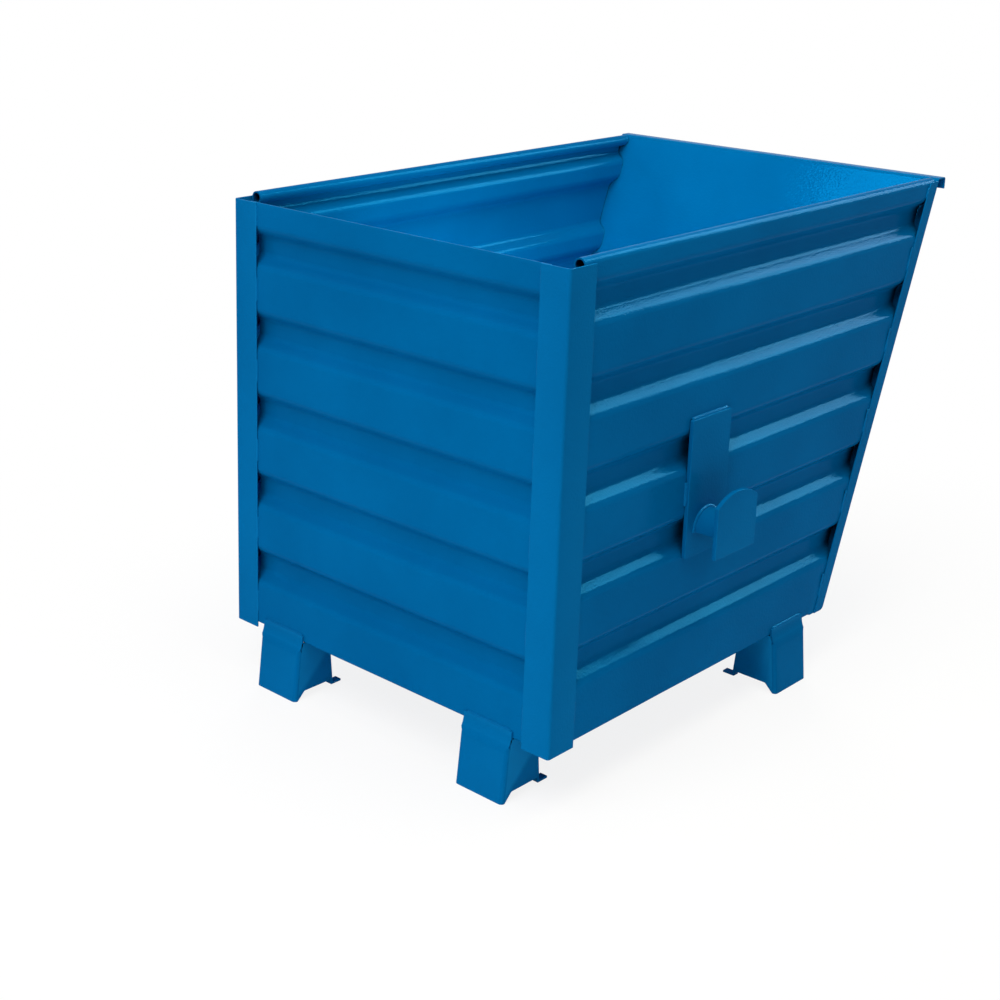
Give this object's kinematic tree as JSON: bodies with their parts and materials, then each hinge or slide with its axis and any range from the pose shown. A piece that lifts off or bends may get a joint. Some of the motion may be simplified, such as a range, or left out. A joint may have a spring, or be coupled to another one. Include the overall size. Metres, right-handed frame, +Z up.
{
  "type": "tipping skip",
  "caption": "Stackable sheet-steel tipping skip with corrugated walls, a sloping pouring chute, fixed lifting trunnions and folded stacking feet.",
  "frame": {"origin": "on the ground, at the middle of the bounding box in plan", "axes": "+X from the back wall to the pouring chute, +Y to the far side, +Z up"},
  "size_m": [1.241, 0.94, 0.97],
  "materials": {
    "blue_enamel": "glossy sprayed enamel on sheet steel",
    "weld_enamel": "the same enamel over weld beads"
  },
  "bodies": {
    "root": {"back_wall": "blue_enamel", "side_panel_near": "blue_enamel", "side_panel_far": "blue_enamel", "floor_pan": "blue_enamel", "chute_wall": "blue_enamel", "corner_angle_near": "blue_enamel", "corner_angle_far": "blue_enamel", "foot_back_near": "blue_enamel", "foot_back_far": "blue_enamel", "foot_side_near": "blue_enamel", "foot_side_far": "blue_enamel", "trunnion_strap_near": "blue_enamel", "trunnion_strap_far": "blue_enamel", "trunnion_saddle_near": "blue_enamel", "trunnion_saddle_far": "blue_enamel", "trunnion_ear_near": "blue_enamel", "trunnion_ear_far": "blue_enamel", "corner_welds_near": "weld_enamel", "corner_welds_far": "weld_enamel", "chute_welds_near": "weld_enamel", "chute_welds_far": "weld_enamel", "trunnion_welds_near": "weld_enamel", "trunnion_welds_far": "weld_enamel", "foot_welds": "weld_enamel"}
  },
  "joints": []
}
